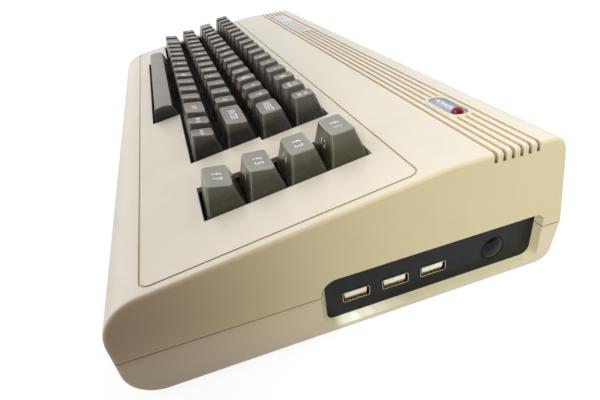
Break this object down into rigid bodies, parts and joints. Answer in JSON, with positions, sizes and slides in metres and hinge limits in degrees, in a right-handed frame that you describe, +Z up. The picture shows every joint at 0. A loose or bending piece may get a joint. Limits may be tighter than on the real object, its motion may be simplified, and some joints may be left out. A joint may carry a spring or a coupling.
{
  "type": "home computer",
  "caption": "Wedge-shaped home computer in one case: full sculpted keyboard with function keys, side port recess with push button, power lamp and grooved rear top.",
  "frame": {"origin": "on the table under the middle of the case", "axes": "+X to the right-hand side with the ports, +Y to the rear, +Z up"},
  "size_m": [0.404, 0.203, 0.0793],
  "materials": {
    "case": "fine matte grain, warm beige",
    "foot": "matte",
    "frame": "matte black",
    "board": "green solder mask",
    "dome": "grey silicone",
    "port_panel": "satin black",
    "metal": "bright tinned shell",
    "tongue": "off-white",
    "chip": "black resin",
    "badge": "blue-grey",
    "lamp": "clear red",
    "plate": "satin silver",
    "ribbon": "grey jacket",
    "screw": "zinc",
    "button": "satin black",
    "key": "dark brown, worn to a soft sheen",
    "function_key": "grey, soft sheen"
  },
  "bodies": {
    "case": {"upper_shell": "case", "lower_shell": "case", "rubber_feet": "foot", "keyboard_frame": "frame", "key_matrix_board": "board", "dome_sheet": "dome", "side_port_panel": "port_panel", "usb_sockets": "metal", "usb_tongues": "tongue", "power_switch": "chip", "side_board": "board", "main_board": "board", "main_chips": "chip", "rear_connectors": "metal", "rear_port_panel": "port_panel", "power_badge": "badge", "power_lamp": "lamp", "name_badge": "plate", "ribbon_cables": "ribbon", "screws": "screw"},
    "key_command": {"key_command": "key"},
    "key_left_shift": {"key_left_shift": "key"},
    "keys_z_x": {"keys_z_x": "key"},
    "keys_c_v": {"keys_c_v": "key"},
    "keys_b_n": {"keys_b_n": "key"},
    "keys_m_comma": {"keys_m_comma": "key"},
    "keys_dot_slash": {"keys_dot_slash": "key"},
    "key_right_shift": {"key_right_shift": "key"},
    "keys_cursor": {"keys_cursor": "key"},
    "key_stop": {"key_stop": "key"},
    "key_shift_lock": {"key_shift_lock": "key"},
    "keys_a_s": {"keys_a_s": "key"},
    "keys_d_f": {"keys_d_f": "key"},
    "keys_g_h": {"keys_g_h": "key"},
    "keys_j_k": {"keys_j_k": "key"},
    "keys_l_colon": {"keys_l_colon": "key"},
    "keys_semicolon_equals": {"keys_semicolon_equals": "key"},
    "key_return": {"key_return": "key"},
    "key_control": {"key_control": "key"},
    "keys_q_w": {"keys_q_w": "key"},
    "keys_e_r": {"keys_e_r": "key"},
    "keys_t_y": {"keys_t_y": "key"},
    "keys_u_i": {"keys_u_i": "key"},
    "keys_o_p": {"keys_o_p": "key"},
    "keys_at_star_up": {"keys_at_star_up": "key"},
    "key_reset": {"key_reset": "key"},
    "keys_back_1": {"keys_back_1": "key"},
    "keys_2_3": {"keys_2_3": "key"},
    "keys_4_5": {"keys_4_5": "key"},
    "keys_6_7": {"keys_6_7": "key"},
    "keys_8_9": {"keys_8_9": "key"},
    "keys_0_plus": {"keys_0_plus": "key"},
    "keys_minus_hash": {"keys_minus_hash": "key"},
    "keys_home_delete": {"keys_home_delete": "key"},
    "key_f7": {"key_f7": "function_key"},
    "key_f5": {"key_f5": "function_key"},
    "key_f3": {"key_f3": "function_key"},
    "key_f1": {"key_f1": "function_key"},
    "key_space": {"key_space": "key"},
    "power_button": {"power_button": "button"}
  },
  "joints": [
    {"name": "press_command", "type": "slide", "parent": "case", "child": "key_command", "axis": [0, 0.1426, -0.9898], "range_m": [0, 0.0036], "stiffness_N_per_m": 120, "springref_m": -0.002, "deforming": ["dome_sheet"]},
    {"name": "press_left_shift", "type": "slide", "parent": "case", "child": "key_left_shift", "axis": [0, 0.1426, -0.9898], "range_m": [0, 0.0036], "stiffness_N_per_m": 120, "springref_m": -0.002, "deforming": ["dome_sheet"]},
    {"name": "press_z_x", "type": "slide", "parent": "case", "child": "keys_z_x", "axis": [0, 0.1426, -0.9898], "range_m": [0, 0.0036], "stiffness_N_per_m": 240, "springref_m": -0.002, "deforming": ["dome_sheet"]},
    {"name": "press_c_v", "type": "slide", "parent": "case", "child": "keys_c_v", "axis": [0, 0.1426, -0.9898], "range_m": [0, 0.0036], "stiffness_N_per_m": 240, "springref_m": -0.002, "deforming": ["dome_sheet"]},
    {"name": "press_b_n", "type": "slide", "parent": "case", "child": "keys_b_n", "axis": [0, 0.1426, -0.9898], "range_m": [0, 0.0036], "stiffness_N_per_m": 240, "springref_m": -0.002, "deforming": ["dome_sheet"]},
    {"name": "press_m_comma", "type": "slide", "parent": "case", "child": "keys_m_comma", "axis": [0, 0.1426, -0.9898], "range_m": [0, 0.0036], "stiffness_N_per_m": 240, "springref_m": -0.002, "deforming": ["dome_sheet"]},
    {"name": "press_dot_slash", "type": "slide", "parent": "case", "child": "keys_dot_slash", "axis": [0, 0.1426, -0.9898], "range_m": [0, 0.0036], "stiffness_N_per_m": 240, "springref_m": -0.002, "deforming": ["dome_sheet"]},
    {"name": "press_right_shift", "type": "slide", "parent": "case", "child": "key_right_shift", "axis": [0, 0.1426, -0.9898], "range_m": [0, 0.0036], "stiffness_N_per_m": 120, "springref_m": -0.002, "deforming": ["dome_sheet"]},
    {"name": "press_cursor", "type": "slide", "parent": "case", "child": "keys_cursor", "axis": [0, 0.1426, -0.9898], "range_m": [0, 0.0036], "stiffness_N_per_m": 240, "springref_m": -0.002, "deforming": ["dome_sheet"]},
    {"name": "press_stop", "type": "slide", "parent": "case", "child": "key_stop", "axis": [0, 0.1426, -0.9898], "range_m": [0, 0.0036], "stiffness_N_per_m": 120, "springref_m": -0.002, "deforming": ["dome_sheet"]},
    {"name": "press_shift_lock", "type": "slide", "parent": "case", "child": "key_shift_lock", "axis": [0, 0.1426, -0.9898], "range_m": [0, 0.0036], "stiffness_N_per_m": 120, "springref_m": -0.002, "deforming": ["dome_sheet"]},
    {"name": "press_a_s", "type": "slide", "parent": "case", "child": "keys_a_s", "axis": [0, 0.1426, -0.9898], "range_m": [0, 0.0036], "stiffness_N_per_m": 240, "springref_m": -0.002, "deforming": ["dome_sheet"]},
    {"name": "press_d_f", "type": "slide", "parent": "case", "child": "keys_d_f", "axis": [0, 0.1426, -0.9898], "range_m": [0, 0.0036], "stiffness_N_per_m": 240, "springref_m": -0.002, "deforming": ["dome_sheet"]},
    {"name": "press_g_h", "type": "slide", "parent": "case", "child": "keys_g_h", "axis": [0, 0.1426, -0.9898], "range_m": [0, 0.0036], "stiffness_N_per_m": 240, "springref_m": -0.002, "deforming": ["dome_sheet"]},
    {"name": "press_j_k", "type": "slide", "parent": "case", "child": "keys_j_k", "axis": [0, 0.1426, -0.9898], "range_m": [0, 0.0036], "stiffness_N_per_m": 240, "springref_m": -0.002, "deforming": ["dome_sheet"]},
    {"name": "press_l_colon", "type": "slide", "parent": "case", "child": "keys_l_colon", "axis": [0, 0.1426, -0.9898], "range_m": [0, 0.0036], "stiffness_N_per_m": 240, "springref_m": -0.002, "deforming": ["dome_sheet"]},
    {"name": "press_semicolon_equals", "type": "slide", "parent": "case", "child": "keys_semicolon_equals", "axis": [0, 0.1426, -0.9898], "range_m": [0, 0.0036], "stiffness_N_per_m": 240, "springref_m": -0.002, "deforming": ["dome_sheet"]},
    {"name": "press_return", "type": "slide", "parent": "case", "child": "key_return", "axis": [0, 0.1426, -0.9898], "range_m": [0, 0.0036], "stiffness_N_per_m": 120, "springref_m": -0.002, "deforming": ["dome_sheet"]},
    {"name": "press_control", "type": "slide", "parent": "case", "child": "key_control", "axis": [0, 0.1426, -0.9898], "range_m": [0, 0.0036], "stiffness_N_per_m": 120, "springref_m": -0.002, "deforming": ["dome_sheet"]},
    {"name": "press_q_w", "type": "slide", "parent": "case", "child": "keys_q_w", "axis": [0, 0.1426, -0.9898], "range_m": [0, 0.0036], "stiffness_N_per_m": 240, "springref_m": -0.002, "deforming": ["dome_sheet"]},
    {"name": "press_e_r", "type": "slide", "parent": "case", "child": "keys_e_r", "axis": [0, 0.1426, -0.9898], "range_m": [0, 0.0036], "stiffness_N_per_m": 240, "springref_m": -0.002, "deforming": ["dome_sheet"]},
    {"name": "press_t_y", "type": "slide", "parent": "case", "child": "keys_t_y", "axis": [0, 0.1426, -0.9898], "range_m": [0, 0.0036], "stiffness_N_per_m": 240, "springref_m": -0.002, "deforming": ["dome_sheet"]},
    {"name": "press_u_i", "type": "slide", "parent": "case", "child": "keys_u_i", "axis": [0, 0.1426, -0.9898], "range_m": [0, 0.0036], "stiffness_N_per_m": 240, "springref_m": -0.002, "deforming": ["dome_sheet"]},
    {"name": "press_o_p", "type": "slide", "parent": "case", "child": "keys_o_p", "axis": [0, 0.1426, -0.9898], "range_m": [0, 0.0036], "stiffness_N_per_m": 240, "springref_m": -0.002, "deforming": ["dome_sheet"]},
    {"name": "press_at_star_up", "type": "slide", "parent": "case", "child": "keys_at_star_up", "axis": [0, 0.1426, -0.9898], "range_m": [0, 0.0036], "stiffness_N_per_m": 360, "springref_m": -0.002, "deforming": ["dome_sheet"]},
    {"name": "press_reset", "type": "slide", "parent": "case", "child": "key_reset", "axis": [0, 0.1426, -0.9898], "range_m": [0, 0.0036], "stiffness_N_per_m": 120, "springref_m": -0.002, "deforming": ["dome_sheet"]},
    {"name": "press_back_1", "type": "slide", "parent": "case", "child": "keys_back_1", "axis": [0, 0.1426, -0.9898], "range_m": [0, 0.0036], "stiffness_N_per_m": 240, "springref_m": -0.002, "deforming": ["dome_sheet"]},
    {"name": "press_2_3", "type": "slide", "parent": "case", "child": "keys_2_3", "axis": [0, 0.1426, -0.9898], "range_m": [0, 0.0036], "stiffness_N_per_m": 240, "springref_m": -0.002, "deforming": ["dome_sheet"]},
    {"name": "press_4_5", "type": "slide", "parent": "case", "child": "keys_4_5", "axis": [0, 0.1426, -0.9898], "range_m": [0, 0.0036], "stiffness_N_per_m": 240, "springref_m": -0.002, "deforming": ["dome_sheet"]},
    {"name": "press_6_7", "type": "slide", "parent": "case", "child": "keys_6_7", "axis": [0, 0.1426, -0.9898], "range_m": [0, 0.0036], "stiffness_N_per_m": 240, "springref_m": -0.002, "deforming": ["dome_sheet"]},
    {"name": "press_8_9", "type": "slide", "parent": "case", "child": "keys_8_9", "axis": [0, 0.1426, -0.9898], "range_m": [0, 0.0036], "stiffness_N_per_m": 240, "springref_m": -0.002, "deforming": ["dome_sheet"]},
    {"name": "press_0_plus", "type": "slide", "parent": "case", "child": "keys_0_plus", "axis": [0, 0.1426, -0.9898], "range_m": [0, 0.0036], "stiffness_N_per_m": 240, "springref_m": -0.002, "deforming": ["dome_sheet"]},
    {"name": "press_minus_hash", "type": "slide", "parent": "case", "child": "keys_minus_hash", "axis": [0, 0.1426, -0.9898], "range_m": [0, 0.0036], "stiffness_N_per_m": 240, "springref_m": -0.002, "deforming": ["dome_sheet"]},
    {"name": "press_home_delete", "type": "slide", "parent": "case", "child": "keys_home_delete", "axis": [0, 0.1426, -0.9898], "range_m": [0, 0.0036], "stiffness_N_per_m": 240, "springref_m": -0.002, "deforming": ["dome_sheet"]},
    {"name": "press_f7", "type": "slide", "parent": "case", "child": "key_f7", "axis": [0, 0.1426, -0.9898], "range_m": [0, 0.0036], "stiffness_N_per_m": 120, "springref_m": -0.002, "deforming": ["dome_sheet"]},
    {"name": "press_f5", "type": "slide", "parent": "case", "child": "key_f5", "axis": [0, 0.1426, -0.9898], "range_m": [0, 0.0036], "stiffness_N_per_m": 120, "springref_m": -0.002, "deforming": ["dome_sheet"]},
    {"name": "press_f3", "type": "slide", "parent": "case", "child": "key_f3", "axis": [0, 0.1426, -0.9898], "range_m": [0, 0.0036], "stiffness_N_per_m": 120, "springref_m": -0.002, "deforming": ["dome_sheet"]},
    {"name": "press_f1", "type": "slide", "parent": "case", "child": "key_f1", "axis": [0, 0.1426, -0.9898], "range_m": [0, 0.0036], "stiffness_N_per_m": 120, "springref_m": -0.002, "deforming": ["dome_sheet"]},
    {"name": "press_space", "type": "slide", "parent": "case", "child": "key_space", "axis": [0, 0.1426, -0.9898], "range_m": [0, 0.0036], "stiffness_N_per_m": 260, "springref_m": -0.002, "deforming": ["dome_sheet"]},
    {"name": "press_power", "type": "slide", "parent": "case", "child": "power_button", "axis": [-1, 0, 0], "range_m": [0, 0.001], "stiffness_N_per_m": 600, "springref_m": -0.001}
  ]
}
